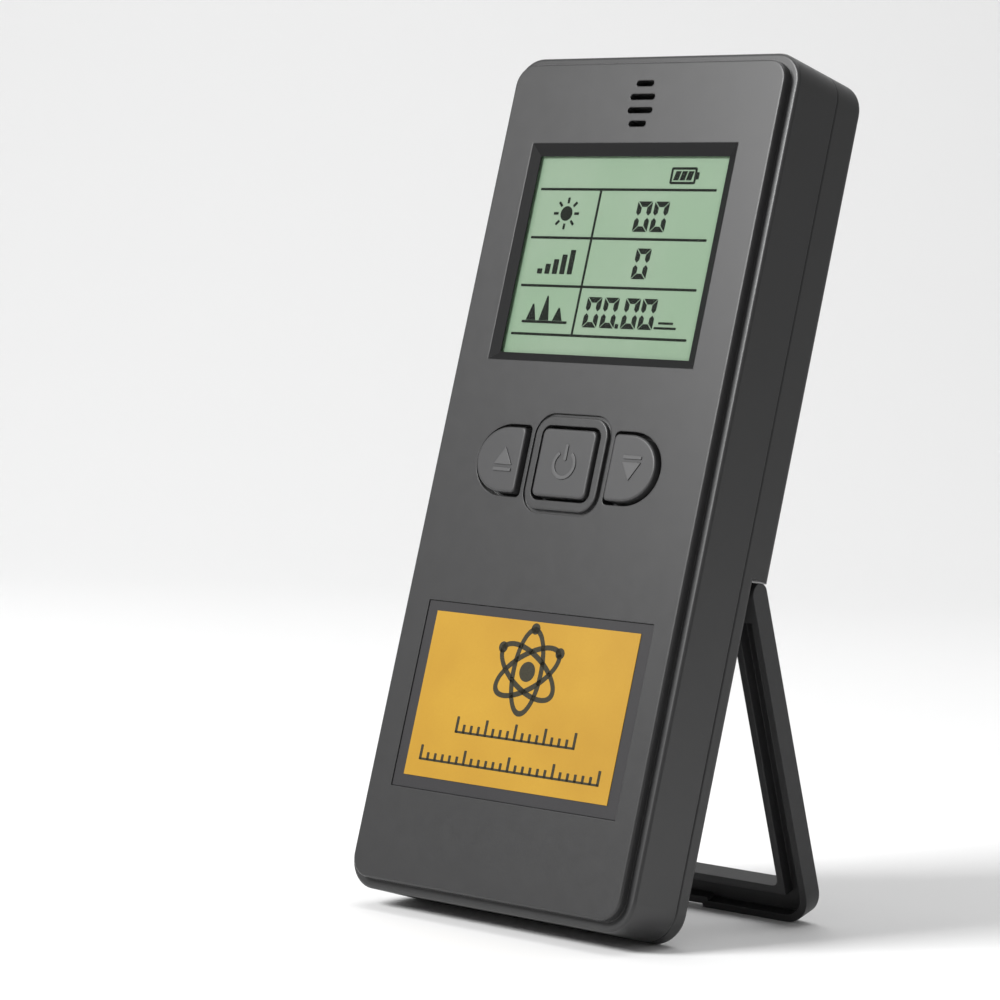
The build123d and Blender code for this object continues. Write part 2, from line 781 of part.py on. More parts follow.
with BuildPart() as battery_door:
    with BuildSketch(at_depth(lower_depth)):
        with Locations((0, bay_along)):
            Rectangle(door_width - 2 * door_gap, door_height - 2 * door_gap)
    extrude(amount=door_thickness - door_seat_gap)
    chamfer(battery_door.edges().group_by(outward)[0], length=door_edge)
save(battery_door, "battery_door")

# --- screws ---
with BuildPart() as case_screws:
    with BuildSketch(at_depth(screw_seat_depth)):
        with Locations(corner_screws()):
            Circle(screw_radius)
    extrude(amount=screw_length)
    with BuildSketch(at_depth(screw_seat_depth + head_height)):
        with Locations(corner_screws()):
            Circle(head_radius)
    extrude(amount=head_height)
    fillet(case_screws.edges().group_by(outward)[0], radius=head_round)
    with BuildSketch(at_depth(screw_seat_depth + head_height)):
        with Locations(corner_screws()):
            Rectangle(drive_length, drive_width)
            Rectangle(drive_width, drive_length)
    extrude(amount=drive_depth, mode=Mode.SUBTRACT)
save(case_screws, "case_screws")

with BuildPart() as board_screws:
    with BuildSketch(at_depth(board_back)):
        with Locations(board_screw_places()):
            Circle(board_screw_radius)
    extrude(amount=board_screw_length)
    with BuildSketch(at_depth(board_back + board_head_height)):
        with Locations(board_screw_places()):
            Circle(board_head_radius)
    extrude(amount=board_head_height)
save(board_screws, "board_screws")

# --- kickstand: a U-shaped channel whose open side faces the case ---
leg_top = stand_thickness / 2
with BuildPart() as kickstand:
    with BuildSketch(stand_middle.offset(-stand_thickness / 2)) as bail:
        with Locations((0, leg_top)):
            Rectangle(case_width, stand_length + leg_top, align=(Align.CENTER, Align.MAX))
        fillet(bail.vertices().group_by(Axis.Y)[0], radius=corner_radius)
        with Locations((0, foot_width - stand_length)):
            RectangleRounded(
                case_width - 2 * leg_width,
                2 * stand_length,
                stand_inner_round,
                align=(Align.CENTER, Align.MIN),
                mode=Mode.SUBTRACT,
            )
        with Locations((0, -stand_length)):
            Rectangle(foot_notch_width, 2 * foot_notch_depth, mode=Mode.SUBTRACT)
    extrude(amount=stand_thickness)
    top_edges = kickstand.edges().filter_by(Axis.X).group_by(leg_upward)[-1]
    fillet(top_edges, radius=(stand_thickness - stand_top_flat) / 2)
    with BuildSketch(stand_middle.offset(stand_thickness / 2)) as groove:
        with Locations((0, -groove_top)):
            groove_width = case_width - 2 * groove_rim
            groove_length = stand_length - groove_top - groove_rim
            Rectangle(groove_width, groove_length, align=(Align.CENTER, Align.MAX))
        fillet(groove.vertices().group_by(Axis.Y)[0], radius=corner_radius - groove_rim)
        with Locations((0, -groove_top)):
            island_width = case_width - 2 * leg_width + 2 * groove_rim
            island_length = stand_length - groove_top - foot_width + groove_rim
            Rectangle(island_width, island_length, align=(Align.CENTER, Align.MAX), mode=Mode.SUBTRACT)
        with Locations((0, -stand_length)):
            Rectangle(
                foot_notch_width + 2 * groove_rim,
                2 * (foot_notch_depth + groove_rim),
                mode=Mode.SUBTRACT,
            )
    extrude(amount=-groove_depth, mode=Mode.SUBTRACT)
    for side in (-1, 1):
        stud_plane = Plane(
            origin=stand_middle.from_local_coords((side * (case_width / 2 - leg_width), 0, 0)),
            x_dir=(0, 0, 1),
            z_dir=(-side, 0, 0),
        )
        with BuildSketch(stud_plane):
            Circle(stud_radius)
        extrude(amount=stud_length)
save(kickstand, "kickstand")
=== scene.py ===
import json
import math

import bmesh
import bpy
from mathutils import Matrix, Vector


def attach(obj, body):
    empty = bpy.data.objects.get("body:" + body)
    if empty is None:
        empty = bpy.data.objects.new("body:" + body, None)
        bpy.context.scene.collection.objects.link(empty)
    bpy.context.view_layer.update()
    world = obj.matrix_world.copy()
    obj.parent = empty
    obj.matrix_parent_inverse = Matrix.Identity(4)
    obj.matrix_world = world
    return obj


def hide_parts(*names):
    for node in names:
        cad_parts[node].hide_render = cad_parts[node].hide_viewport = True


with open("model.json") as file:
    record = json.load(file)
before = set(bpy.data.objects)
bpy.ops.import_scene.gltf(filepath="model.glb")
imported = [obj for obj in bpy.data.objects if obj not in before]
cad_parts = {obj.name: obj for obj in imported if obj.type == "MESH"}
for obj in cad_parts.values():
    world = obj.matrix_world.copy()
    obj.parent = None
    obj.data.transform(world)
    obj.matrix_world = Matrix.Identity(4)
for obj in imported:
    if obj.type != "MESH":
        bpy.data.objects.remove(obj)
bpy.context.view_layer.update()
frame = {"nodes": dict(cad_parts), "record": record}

MM = 0.001

# ---------------------------------------------------------------- the case's own directions
# Pieces are drawn in millimetres as (across, along, height): across the case, along it from
# its middle, and height above the front panel. The record says where that panel lies.
CASE_LENGTH = 130.0
MOUNT_DEPTH = 6.5

joints = {joint["name"]: joint for joint in frame["record"]["behaviour"]["joints"]}
mounts = {mount["name"]: mount for mount in frame["record"]["mounts"]}
panel_normal = -Vector(joints["power_key_press"]["axis"])
across_dir = Vector((1, 0, 0))
along_dir = panel_normal.cross(across_dir)
end_point = Vector(mounts["bottom_end"]["pos_m"])
panel_middle = end_point + along_dir * (CASE_LENGTH / 2 * MM) + panel_normal * (MOUNT_DEPTH * MM)
to_world = Matrix.Translation(panel_middle) @ Matrix(
    (
        (across_dir.x * MM, along_dir.x * MM, panel_normal.x * MM, 0),
        (across_dir.y * MM, along_dir.y * MM, panel_normal.y * MM, 0),
        (across_dir.z * MM, along_dir.z * MM, panel_normal.z * MM, 0),
        (0, 0, 0, 1),
    )
)
to_panel = to_world.inverted()


def panel_box(node):
    """A node's lowest and highest (across, along, height), from its own vertices."""
    points = [to_panel @ v.co for v in frame["nodes"][node].data.vertices]
    low = Vector([min(p[i] for p in points) for i in range(3)])
    high = Vector([max(p[i] for p in points) for i in range(3)])
    return low, high


# ---------------------------------------------------------------- materials
# Texture scales are in features per metre. Most of a noise lies between these two values.
NOISE_LOW, NOISE_HIGH = 0.3, 0.7


def shade(color, factor):
    return tuple(channel * factor for channel in color)


class Shader:
    """A material's node tree with short calls for the nodes used here."""

    def __init__(self, name):
        self.material = bpy.data.materials.new(name)
        self.material.use_nodes = True
        self.tree = self.material.node_tree
        self.surface = self.tree.nodes["Principled BSDF"]
        self.place = self.node("ShaderNodeTexCoord").outputs["Object"]

    def node(self, kind, **settings):
        made = self.tree.nodes.new(kind)
        for key, value in settings.items():
            setattr(made, key, value)
        return made

    def link(self, source, target):
        self.tree.links.new(source, target)

    def noise(self, scale, detail=3.0, roughness=0.5, source=None):
        made = self.node("ShaderNodeTexNoise")
        made.inputs["Scale"].default_value = scale
        made.inputs["Detail"].default_value = detail
        made.inputs["Roughness"].default_value = roughness
        self.link(source or self.place, made.inputs["Vector"])
        return made.outputs["Fac"]

    def cells(self, scale, feature="F1"):
        made = self.node("ShaderNodeTexVoronoi", feature=feature)
        made.inputs["Scale"].default_value = scale
        self.link(self.place, made.inputs["Vector"])
        return made.outputs["Distance"]

    def spread(self, value, low, high, out_low=0.0, out_high=1.0):
        made = self.node("ShaderNodeMapRange")
        limits = {"From Min": low, "From Max": high, "To Min": out_low, "To Max": out_high}
        for key, number in limits.items():
            made.inputs[key].default_value = number
        self.link(value, made.inputs["Value"])
        return made.outputs["Result"]

    def vary(self, noise, low, high):
        """A value that swings from low to high with a noise."""
        return self.spread(noise, NOISE_LOW, NOISE_HIGH, low, high)

    def ramp(self, value, *stops):
        """A blend between two colours, each given with the value it starts or ends at."""
        made = self.node("ShaderNodeValToRGB")
        for element, (position, color) in zip(made.color_ramp.elements, stops):
            element.position = position
            element.color = (*color, 1)
        self.link(value, made.inputs["Fac"])
        return made.outputs["Color"]

    def tint(self, noise, first, second):
        """A colour that swings from the first to the second with a noise."""
        return self.ramp(noise, (NOISE_LOW, first), (NOISE_HIGH, second))

    def mix(self, amount, first, second):
        made = self.node("ShaderNodeMix", data_type="RGBA")
        self.link(amount, made.inputs["Factor"])
        for socket, value in ((6, first), (7, second)):
            if isinstance(value, tuple):
                made.inputs[socket].default_value = (*value, 1)
            else:
                self.link(value, made.inputs[socket])
        return made.outputs[2]

    def math(self, operation, first, second):
        made = self.node("ShaderNodeMath", operation=operation)
        for socket, value in enumerate((first, second)):
            if isinstance(value, float):
                made.inputs[socket].default_value = value
            else:
                self.link(value, made.inputs[socket])
        return made.outputs[0]

    def edge(self, radius):
        """A mask, 1 on edges of this radius and 0 on flat stretches, and the rounded normal."""
        bevel = self.node("ShaderNodeBevel", samples=4)
        bevel.inputs["Radius"].default_value = radius
        flat = self.node("ShaderNodeNewGeometry").outputs["Normal"]
        turn = self.node("ShaderNodeVectorMath", operation="DOT_PRODUCT")
        self.link(bevel.outputs["Normal"], turn.inputs[0])
        self.link(flat, turn.inputs[1])
        return self.spread(turn.outputs["Value"], 0.99, 0.8), bevel.outputs["Normal"]

    def bump(self, height, distance, strength, normal=None):
        made = self.node("ShaderNodeBump")
        made.inputs["Distance"].default_value = distance
        made.inputs["Strength"].default_value = strength
        self.link(height, made.inputs["Height"])
        if normal is not None:
            self.link(normal, made.inputs["Normal"])
        return made.outputs["Normal"]

    def set(self, **values):
        """Set or link the surface's own sockets and hand back the finished material."""
        for key, value in values.items():
            socket = self.surface.inputs[key.replace("_", " ")]
            if isinstance(value, bpy.types.NodeSocket):
                self.link(value, socket)
            elif isinstance(value, tuple) and len(value) == 3:
                socket.default_value = (*value, 1)
            else:
                socket.default_value = value
        return self.material


GRAIN_DEPTH = 0.01 * MM
FLOW_SCALE, SCUFF_SCALE, PATCH_SCALE = 55, 900, 420


def moulded(name, color, rough=0.34, grain=5200, edge=0.22, wear=1.5, blotch=0.03, shine=0.5):
    """Satin moulded plastic: fine eroded grain, faint flow blotches, lighter rubbed edges."""
    s = Shader(name)
    rubbed, round_normal = s.edge(edge * MM)
    fine = s.noise(grain, 2.0, 0.6)
    body = s.tint(s.noise(FLOW_SCALE, 4.0, 0.6), shade(color, 1 - blotch), shade(color, 1 + blotch))
    scuffs = s.math("MULTIPLY", rubbed, s.spread(s.noise(SCUFF_SCALE, 4.0, 0.7), 0.35, 0.75))
    worn = s.mix(scuffs, body, tuple(min(1.0, channel * wear + 0.01) for channel in color))
    patches = s.vary(s.noise(PATCH_SCALE, 5.0, 0.6), rough - 0.012, rough + 0.018)
    return s.set(
        Base_Color=worn,
        Specular_IOR_Level=shine,
        Roughness=s.math("ADD", patches, s.vary(fine, -0.03, 0.03)),
        Normal=s.bump(fine, GRAIN_DEPTH, 0.6, round_normal),
    )


LINE_SCALE, LINE_STRETCH = 1800, (1, 1, 12)


def plain_metal(name, color, rough):
    """Plated or brushed metal with fine directional lines and dull patches."""
    s = Shader(name)
    turned = s.node("ShaderNodeMapping")
    turned.inputs["Scale"].default_value = LINE_STRETCH
    s.link(s.place, turned.inputs["Vector"])
    lines = s.noise(LINE_SCALE, 3.0, 0.6, turned.outputs["Vector"])
    dull = s.noise(300, 4.0, 0.6)
    tone = s.ramp(dull, (0.3, shade(color, 0.8)), (0.75, color))
    return s.set(
        Base_Color=tone,
        Metallic=1.0,
        Roughness=s.vary(lines, rough * 0.75, rough * 1.35),
        Normal=s.bump(lines, 0.000004, 0.5),
    )


def glossy_plastic(name, color, rough=0.22):
    """Smooth plastic or lacquer with a faint haze."""
    s = Shader(name)
    haze = s.noise(420, 5.0, 0.65)
    return s.set(
        Base_Color=s.tint(haze, shade(color, 0.85), color),
        Roughness=s.vary(haze, rough, rough + 0.12),
        Normal=s.bump(s.noise(1400, 2.0), 0.000006, 0.5),
    )


def clear_window(name):
    """Thin clear lens: a faint gloss over whatever lies behind it."""
    s = Shader(name)
    smear = s.noise(160, 4.0, 0.6)
    return s.set(
        Base_Color=(0.05, 0.07, 0.05),
        Roughness=s.spread(smear, 0.3, 0.8, 0.04, 0.12),
        IOR=1.49,
        Alpha=0.08,
        Normal=s.bump(s.noise(35, 1.0), 0.00001, 0.15),
    )


DISPLAY_CLOUD = ((0.204, 0.32, 0.2), (0.237, 0.338, 0.23))
# Painted shadow: the display's green turns deeper towards its left and right edges, where the window's
# sides shade it.
DISPLAY_EDGE_SHADOW = (0.125, 0.23, 0.13)
EDGE_SHADOW_START, EDGE_SHADOW_FULL = 0.85, 0.93


def display_panel(name):
    """The green reflector of the display with a faint speckle; its deeper green towards the left and right
    edges is painted shadow from the window's sides.
    """
    low, high = panel_box("display_glass")
    s = Shader(name)
    speckle = s.noise(9000, 2.0, 0.7)
    shifted = s.node("ShaderNodeMapping", vector_type="POINT")
    shifted.inputs["Location"].default_value = -(to_world @ ((low + high) / 2))
    s.link(s.place, shifted.inputs["Vector"])
    apart = s.node("ShaderNodeSeparateXYZ")
    s.link(shifted.outputs["Vector"], apart.inputs["Vector"])
    reach = (high.x - low.x) / 2 * MM
    sideways = s.math("ABSOLUTE", apart.outputs["X"], 0.0)
    # Painted shadow: a mask that darkens the green towards the left and right edges.
    edge_shadow = s.spread(sideways, reach * EDGE_SHADOW_START, reach * EDGE_SHADOW_FULL)
    body = s.ramp(s.noise(45, 3.0, 0.5), (0.35, DISPLAY_CLOUD[0]), (0.65, DISPLAY_CLOUD[1]))
    return s.set(
        Base_Color=s.mix(edge_shadow, body, DISPLAY_EDGE_SHADOW),
        Roughness=s.vary(speckle, 0.42, 0.56),
        Normal=s.bump(speckle, 0.000003, 0.4),
    )


def ink(name, color, rough):
    """Matte print or display segments with a fine grain."""
    s = Shader(name)
    grain = s.noise(5200, 2.0)
    return s.set(
        Base_Color=s.tint(grain, shade(color, 0.8), shade(color, 1.15)),
        Specular_IOR_Level=0.15,
        Roughness=s.vary(grain, rough, rough + 0.1),
        Normal=s.bump(grain, 0.000002, 0.4),
    )


def printed_sheet(name, color, deeper):
    """Laminated print: fine fibre under the gloss and a slow change of tone."""
    s = Shader(name)
    slow = s.noise(60, 3.0, 0.5)
    fibre = s.noise(2600, 5.0, 0.7)
    return s.set(
        Base_Color=s.mix(s.vary(fibre, 0.0, 0.3), s.tint(slow, deeper, color), deeper),
        Specular_IOR_Level=0.3,
        Roughness=s.vary(fibre, 0.42, 0.56),
        Normal=s.bump(fibre, 0.000005, 0.5),
    )


def woven(name, color):
    """Dust mesh: two crossing sets of threads."""
    s = Shader(name)
    threads = []
    for direction in ("X", "Z"):
        wave = s.node("ShaderNodeTexWave", bands_direction=direction)
        wave.inputs["Scale"].default_value = 700
        s.link(s.place, wave.inputs["Vector"])
        threads.append(wave.outputs["Fac"])
    weave = s.math("MULTIPLY", threads[0], threads[1])
    tone = s.ramp(weave, (0.1, shade(color, 0.3)), (0.8, color))
    return s.set(Base_Color=tone, Roughness=0.85, Normal=s.bump(weave, 0.00004, 0.9))


def board_mask(name):
    """Solder mask over copper tracks: tracks show as raised, lighter green paths."""
    s = Shader(name)
    tracks = s.cells(420, "DISTANCE_TO_EDGE")
    path = s.spread(tracks, 0.035, 0.06, 1.0, 0.0)
    tone = s.mix(path, (0.012, 0.09, 0.035), (0.03, 0.19, 0.07))
    return s.set(Base_Color=tone, Roughness=0.3, Normal=s.bump(path, 0.00003, 0.7))


BAND_EDGE, BAND_BLUR = 7.8, 0.2


def wrap_print(name, color, second):
    """Printed sleeve of a cell: two bands of colour along its length."""
    s = Shader(name)
    apart = s.node("ShaderNodeSeparateXYZ")
    s.link(s.place, apart.inputs["Vector"])
    band = s.spread(apart.outputs["X"], BAND_EDGE * MM, (BAND_EDGE + BAND_BLUR) * MM)
    rubbed = s.noise(700, 4.0, 0.6)
    return s.set(
        Base_Color=s.mix(band, color, second),
        Metallic=0.3,
        Roughness=s.vary(rubbed, 0.22, 0.36),
        Normal=s.bump(rubbed, 0.000005, 0.4),
    )


def rubber(name, color):
    """Soft rubber under a film of dust."""
    s = Shader(name)
    dust = s.noise(1500, 4.0, 0.6)
    return s.set(
        Base_Color=s.tint(dust, shade(color, 0.85), color),
        Roughness=s.vary(dust, 0.55, 0.75),
        Normal=s.bump(dust, 0.00001, 0.5),
    )


SHELL_COLOR = (0.027, 0.027, 0.0275)
STAND_COLOR = (0.024, 0.024, 0.025)
KEY_COLOR = (0.04, 0.04, 0.041)
SYMBOL_COLOR = (0.062, 0.062, 0.063)

NODE_MATERIALS = {
    "front_shell": moulded("shell_plastic", SHELL_COLOR),
    "rear_shell": moulded("rear_plastic", SHELL_COLOR, rough=0.4),
    "battery_door": moulded("door_plastic", SHELL_COLOR, rough=0.4),
    "kickstand": moulded("stand_plastic", STAND_COLOR, rough=0.5, grain=4200),
    "display_glass": display_panel("display_green"),
    "backlight_panel": glossy_plastic("diffuser_plastic", (0.8, 0.83, 0.76), 0.35),
    "display_frame": moulded("frame_plastic", (0.72, 0.72, 0.7), wear=1.05, blotch=0.04),
    "connector_strips": rubber("strip_rubber", (0.62, 0.42, 0.45)),
    "label_film": printed_sheet("label_film", (0.026, 0.0252, 0.0268), (0.022, 0.0212, 0.0228)),
    "label_panel": printed_sheet("label_yellow", (0.445, 0.255, 0.0175), (0.38, 0.202, 0.0108)),
    "sound_mesh": woven("mesh_cloth", (0.02, 0.02, 0.02)),
    "up_plunger": glossy_plastic("plunger_plastic", (0.02, 0.02, 0.02)),
    "tact_switches": plain_metal("switch_cover", (0.62, 0.62, 0.6), 0.3),
    "circuit_board": board_mask("board_mask"),
    "buzzer": glossy_plastic("buzzer_plastic", (0.012, 0.012, 0.012)),
    "geiger_tube": glossy_plastic("tube_coating", (0.09, 0.085, 0.08), 0.12),
    "tube_caps": plain_metal("tube_cap_metal", (0.66, 0.65, 0.62), 0.22),
    "tube_clips": plain_metal("clip_brass", (0.75, 0.55, 0.26), 0.3),
    "voltage_coil": printed_sheet("coil_tape", (0.75, 0.5, 0.03), (0.6, 0.36, 0.02)),
    "storage_capacitor": glossy_plastic("capacitor_sleeve", (0.02, 0.05, 0.22)),
    "board_chips": moulded("chip_epoxy", (0.016, 0.016, 0.017), rough=0.55),
    "light_sensor": glossy_plastic("sensor_body", (0.3, 0.27, 0.2)),
    "battery_cells": wrap_print("cell_wrap", (0.012, 0.012, 0.014), (0.5, 0.24, 0.08)),
    "cell_contacts": plain_metal("contact_plate", (0.68, 0.67, 0.64), 0.28),
    "cell_springs": plain_metal("spring_wire", (0.62, 0.61, 0.6), 0.3),
    "case_screws": plain_metal("screw_zinc", (0.12, 0.12, 0.125), 0.38),
    "board_screws": plain_metal("board_screw_steel", (0.55, 0.54, 0.52), 0.3),
    "sensor_window": clear_window("sensor_lens"),
    "display_window": clear_window("window_lens"),
}
for plunger_node in ("power_plunger", "down_plunger"):
    NODE_MATERIALS[plunger_node] = NODE_MATERIALS["up_plunger"]
key_plastic = moulded("key_plastic", KEY_COLOR, rough=0.38, grain=6000, shine=0.45)
for key_node in ("up_key", "power_key", "down_key"):
    NODE_MATERIALS[key_node] = key_plastic

for node, material in NODE_MATERIALS.items():
    slots = frame["nodes"][node].data.materials
    slots.clear()
    slots.append(material)


# ---------------------------------------------------------------- flat shapes
STROKE_CORNER = 0.1


def circle(x, y, radius, count=48, squash=1.0, turn=0.0):
    """A circle, or with squash below 1 an ellipse whose long side is turned by this angle."""
    points = []
    for i in range(count):
        angle = 2 * math.pi * i / count
        px, py = radius * math.cos(angle), radius * squash * math.sin(angle)
        turned_x = px * math.cos(turn) - py * math.sin(turn)
        turned_y = px * math.sin(turn) + py * math.cos(turn)
        points.append((x + turned_x, y + turned_y))
    return points


def rounded(x, y, width, height, radius=STROKE_CORNER, count=3):
    """A rectangle about (x, y) with round corners of this many segments."""
    points = []
    for sx, sy, start in ((1, 1, 0), (-1, 1, 90), (-1, -1, 180), (1, -1, 270)):
        cx, cy = x + sx * (width / 2 - radius), y + sy * (height / 2 - radius)
        for i in range(count + 1):
            angle = math.radians(start + 90 * i / count)
            points.append((cx + radius * math.cos(angle), cy + radius * math.sin(angle)))
    return points


def add_piece(name, drawn, material, body, soften=0.0):
    """Make a mesh drawn in the case's millimetres into a piece that rides on a body."""
    bmesh.ops.recalc_face_normals(drawn, faces=drawn.faces)
    mesh = bpy.data.meshes.new(name)
    drawn.to_mesh(mesh)
    drawn.free()
    piece = bpy.data.objects.new(name, mesh)
    bpy.context.collection.objects.link(piece)
    if soften:
        rounding = piece.modifiers.new("rounding", "BEVEL")
        rounding.width = soften
        rounding.segments = 2
        rounding.limit_method = "ANGLE"
        bpy.context.view_layer.objects.active = piece
        with bpy.context.temp_override(object=piece, active_object=piece):
            bpy.ops.object.modifier_apply(modifier=rounding.name)
    piece.data.transform(to_world)
    piece.data.materials.append(material)
    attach(piece, body)
    return piece


class Relief:
    """A set of flat raised shapes on the case, made into one mesh."""

    def __init__(self, low, high, soften=0.0):
        self.bm = bmesh.new()
        self.low, self.high, self.soften = low, high, soften

    def plate(self, outline):
        """A filled shape."""
        top = [self.bm.verts.new((x, y, self.high)) for x, y in outline]
        base = [self.bm.verts.new((x, y, self.low)) for x, y in outline]
        self.bm.faces.new(top)
        self.bm.faces.new(list(reversed(base)))
        for i in range(len(outline)):
            j = (i + 1) % len(outline)
            self.bm.faces.new((base[i], base[j], top[j], top[i]))

    def ring(self, outer, inner, closed=True):
        """A band between two outlines with the same number of points."""
        rows = []
        for outline in (outer, inner):
            rows.append([self.bm.verts.new((x, y, self.high)) for x, y in outline])
            rows.append([self.bm.verts.new((x, y, self.low)) for x, y in outline])
        outer_top, outer_low, inner_top, inner_low = rows
        count = len(outer)
        for i in range(count if closed else count - 1):
            j = (i + 1) % count
            self.bm.faces.new((outer_top[i], outer_top[j], inner_top[j], inner_top[i]))
            self.bm.faces.new((outer_low[j], outer_low[i], inner_low[i], inner_low[j]))
            self.bm.faces.new((outer_low[i], outer_low[j], outer_top[j], outer_top[i]))
            self.bm.faces.new((inner_low[j], inner_low[i], inner_top[i], inner_top[j]))
        if not closed:
            for i in (0, count - 1):
                self.bm.faces.new((outer_top[i], inner_top[i], inner_low[i], outer_low[i]))

    def arc(self, x, y, radius, width, start, end, count=28):
        """A curved stroke about (x, y), angles in degrees."""
        angles = [math.radians(start + (end - start) * i / count) for i in range(count + 1)]
        sides = []
        for reach in (radius + width / 2, radius - width / 2):
            sides.append([(x + reach * math.cos(a), y + reach * math.sin(a)) for a in angles])
        self.ring(*sides, closed=False)

    def finish(self, name, material, body):
        return add_piece(name, self.bm, material, body, self.soften)


# ---------------------------------------------------------------- display
window_low, window_high = panel_box("display_window")
INK_LOW = window_low.z - 0.03
INK_HIGH = window_low.z + 0.06
RULE_WIDTH = 0.38
RULE_LEFT, RULE_RIGHT = -17.54, 16.81
RULE_ROWS = (43.93, 36.3, 28.75, 21.18)
COLUMN_X = -5.39
ICON_X = -11.4
BATTERY_PLACE = (7.56, 44.83)
DIGIT_HEIGHT, DIGIT_WIDTH = 4.7, 2.8
DIGIT_STROKE, DIGIT_BREAK, DIGIT_LEAN, DIGIT_WAIST = 0.84, 0.12, 0.03, 0.18
DIGIT_ROWS = ((37.43, (2.26, 5.56)), (30.18, (3.86,)), (22.53, (-3.74, -0.34, 3.76, 7.06)))
POINT_X, POINT_Y, POINT_WIDTH, POINT_HEIGHT = 2.99, 22.88, 0.62, 0.7
UNIT_X, UNIT_Y, UNIT_PITCH, UNIT_STROKE = 12.3, 22.85, 0.75, 0.34
UNIT_WIDTHS = (4.2, 2.8)


def digit_segments(x, y):
    """Outlines of the six lit segments of a nought whose lower left corner is (x, y)."""
    w, h, t, gap = DIGIT_WIDTH, DIGIT_HEIGHT, DIGIT_STROKE, DIGIT_BREAK
    mid = h / 2 - DIGIT_WAIST
    bar = [(gap, 0), (w - gap, 0), (w - t - gap, t), (t + gap, t)]
    side = [(0, gap), (t, t + gap), (t, mid - t / 2), (t / 2, mid), (0, mid - t / 2)]
    lower = [bar, side, [(w - px, py) for px, py in side]]
    upper = [[(px, h - py) for px, py in shape] for shape in lower]
    return [[(x + px + py * DIGIT_LEAN, y + py) for px, py in shape] for shape in lower + upper]


def draw_battery(relief, x, y):
    """A cell whose lower left corner is (x, y): outline, nub on its right, three slanted bars."""
    width, height, line = 4.9, 2.6, 0.36
    nub_width, nub_height = 0.5, 1.1
    first_bar, bar_pitch, bar_width, bar_slant, bar_margin = 0.62, 1.22, 0.95, 0.35, 0.6
    middle_x, middle_y = x + width / 2, y + height / 2
    relief.ring(
        rounded(middle_x, middle_y, width, height, 0.3),
        rounded(middle_x, middle_y, width - 2 * line, height - 2 * line),
    )
    relief.plate(rounded(x + width + nub_width / 2, middle_y, nub_width, nub_height, 0.12))
    low, high = y + bar_margin, y + height - bar_margin
    for bar in range(3):
        left = x + first_bar + bar_pitch * bar
        right = left + bar_width
        relief.plate([(left, low), (right, low), (right + bar_slant, high), (left + bar_slant, high)])


def draw_sun(relief, x, y):
    """A disc with eight rays."""
    disc_radius, ray_start, ray_end, half_ray = 1.15, 1.6, 2.5, 0.2
    relief.plate(circle(x, y, disc_radius))
    for ray in range(8):
        angle = math.radians(45 * ray)
        across, along = math.cos(angle), math.sin(angle)
        outline = []
        for reach, side in ((ray_start, -1), (ray_end, -1), (ray_end, 1), (ray_start, 1)):
            shift = side * half_ray
            outline.append((x + reach * across - shift * along, y + reach * along + shift * across))
        relief.plate(outline)


def draw_levels(relief, x, y):
    """Five bars of rising height."""
    first_height, growth, pitch, width = 0.8, 0.75, 1.5, 0.95
    left, base = x - 3.0, y - 1.9
    for bar in range(5):
        height = first_height + growth * bar
        relief.plate(rounded(left + pitch * bar, base + height / 2, width, height))


def draw_pulses(relief, x, y):
    """A base line with three pulses standing on it."""
    line_y, line_width, line_height = y - 1.85, 9.0, 0.4
    base, half_foot, half_tip = y - 1.6, 0.95, 0.12
    relief.plate(rounded(x, line_y, line_width, line_height))
    for offset, height in ((-2.8, 2.5), (-0.2, 3.8), (2.5, 2.0)):
        middle, tip = x + offset, base + height
        foot = [(middle - half_foot, base), (middle + half_foot, base)]
        relief.plate(foot + [(middle + half_tip, tip), (middle - half_tip, tip)])


def draw_display(relief):
    """Rules, noughts with a decimal point and unit bars, battery, and one icon for each row."""
    middle, width = (RULE_LEFT + RULE_RIGHT) / 2, RULE_RIGHT - RULE_LEFT
    for row in RULE_ROWS:
        relief.plate(rounded(middle, row, width, RULE_WIDTH))
    span = RULE_ROWS[0] - RULE_ROWS[-1] - RULE_WIDTH
    relief.plate(rounded(COLUMN_X, (RULE_ROWS[0] + RULE_ROWS[-1]) / 2, RULE_WIDTH, span))
    for y, places in DIGIT_ROWS:
        for x in places:
            for outline in digit_segments(x, y):
                relief.plate(outline)
    relief.plate(rounded(POINT_X, POINT_Y, POINT_WIDTH, POINT_HEIGHT, 0.12))
    for row, unit_width in enumerate(UNIT_WIDTHS):
        relief.plate(rounded(UNIT_X, UNIT_Y + UNIT_PITCH * row, unit_width, UNIT_STROKE))
    draw_battery(relief, *BATTERY_PLACE)
    for draw, upper, lower in zip((draw_sun, draw_levels, draw_pulses), RULE_ROWS, RULE_ROWS[1:]):
        draw(relief, ICON_X, (upper + lower) / 2)


segments = Relief(INK_LOW, INK_HIGH)
draw_display(segments)
segments.finish("display_segments", ink("segment_dark", (0.003, 0.004, 0.003), 0.7), "case")

LENS_THICKNESS = 0.28
LENS_SOFTENING = 0.08
LENS_CORNER = 0.5
lens_size = window_high - window_low
lens_middle = (window_low + window_high) / 2
lens = Relief(window_high.z - LENS_THICKNESS, window_high.z, LENS_SOFTENING)
lens.plate(rounded(lens_middle.x, lens_middle.y, lens_size.x, lens_size.y, LENS_CORNER, 4))
window_lens = lens.finish("window_lens", clear_window("window_clear"), "case")
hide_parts("display_window")

# ---------------------------------------------------------------- dark bezel round the display
BEVEL_WIDTH, BEVEL_HEIGHT, BEVEL_INSET, BEVEL_DROP = 40.2, 34.2, 1.6, 0.28
BEVEL_DEPTH = 0.7
BEZEL_THICKNESS = 0.06
BEZEL_LIFT = 0.02
BEZEL_OUTER_GAP, BEZEL_INNER_GAP = 0.04, 0.05


